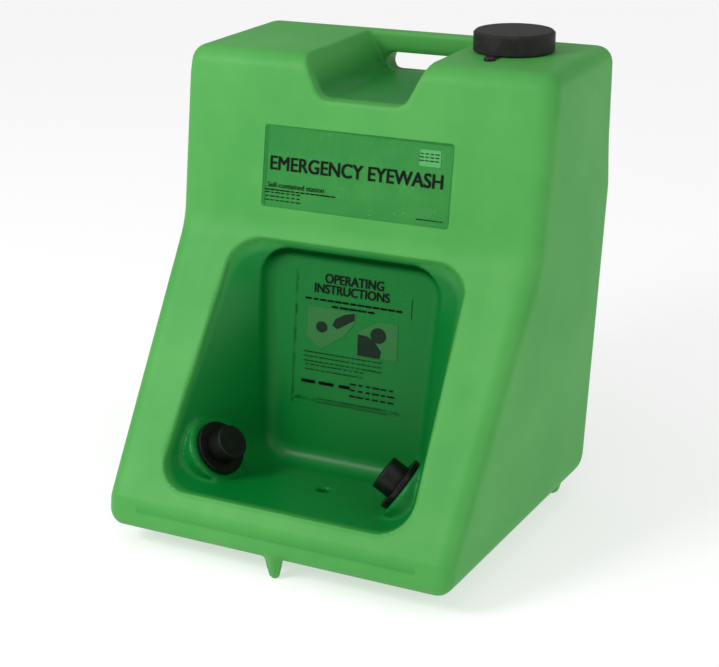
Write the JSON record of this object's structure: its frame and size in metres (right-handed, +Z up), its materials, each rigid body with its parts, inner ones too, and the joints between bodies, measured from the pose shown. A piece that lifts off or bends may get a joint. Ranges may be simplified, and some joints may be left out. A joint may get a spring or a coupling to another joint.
{
  "type": "portable emergency eyewash station",
  "caption": "Portable gravity-fed eyewash station: hollow moulded tank with a front basin, two pull-capped spray nozzles, a handle bar and a screw fill cap.",
  "frame": {"origin": "middle of the footprint, on the surface that the three feet stand on", "axes": "+X to the user's right as they face the basin, +Y to the rear, +Z up"},
  "size_m": [0.5629, 0.5363, 0.6585],
  "materials": {
    "tank": "semi-matt rotomoulded polyethylene",
    "cap": "matt moulded polypropylene",
    "nozzle": "satin moulded plastic",
    "pull_cap": "satin moulded plastic",
    "insert": "moulded plastic",
    "strap": "flexible plastic",
    "seal": "rubber",
    "film": "printed film",
    "tag": "coated paper"
  },
  "bodies": {
    "station": {"tank_shell": "tank", "filler_neck": "tank", "front_label": "film", "inspection_tag": "tag", "instruction_label": "film", "tether_strap": "strap", "tether_rivet": "strap", "nozzle_housing_left": "nozzle", "nozzle_gasket_left": "seal", "nozzle_locknut_left": "nozzle", "flow_insert_left": "insert", "inlet_screen_left": "insert", "spray_rose_left": "insert", "nozzle_housing_right": "nozzle", "nozzle_gasket_right": "seal", "nozzle_locknut_right": "nozzle", "flow_insert_right": "insert", "inlet_screen_right": "insert", "spray_rose_right": "insert"},
    "cap_carrier": {"cap_gasket": "seal"},
    "cap": {"fill_cap": "cap", "vent_valve": "seal"},
    "pull_cap_left": {"pull_cap_left": "pull_cap", "pull_cap_seal_left": "seal"},
    "pull_cap_right": {"pull_cap_right": "pull_cap", "pull_cap_seal_right": "seal"}
  },
  "joints": [
    {"name": "cap_lift", "type": "slide", "parent": "station", "child": "cap_carrier", "axis": [0, 0, 1], "range_m": [0, 0.0125]},
    {"name": "cap_turn", "type": "hinge", "parent": "cap_carrier", "child": "cap", "pos_m": [0.158, 0.161, 0.656], "axis": [0, 0, 1], "range_deg": [0, 720]},
    {"name": "pull_left", "type": "slide", "parent": "station", "child": "pull_cap_left", "axis": [0.8067, -0.1422, 0.5736], "range_m": [0, 0.045]},
    {"name": "pull_right", "type": "slide", "parent": "station", "child": "pull_cap_right", "axis": [-0.8067, -0.1422, 0.5736], "range_m": [0, 0.045]}
  ],
  "couplings": [
    {"joint": "cap_lift", "follows": "cap_turn", "m_per_rad": 0.00095493}
  ]
}
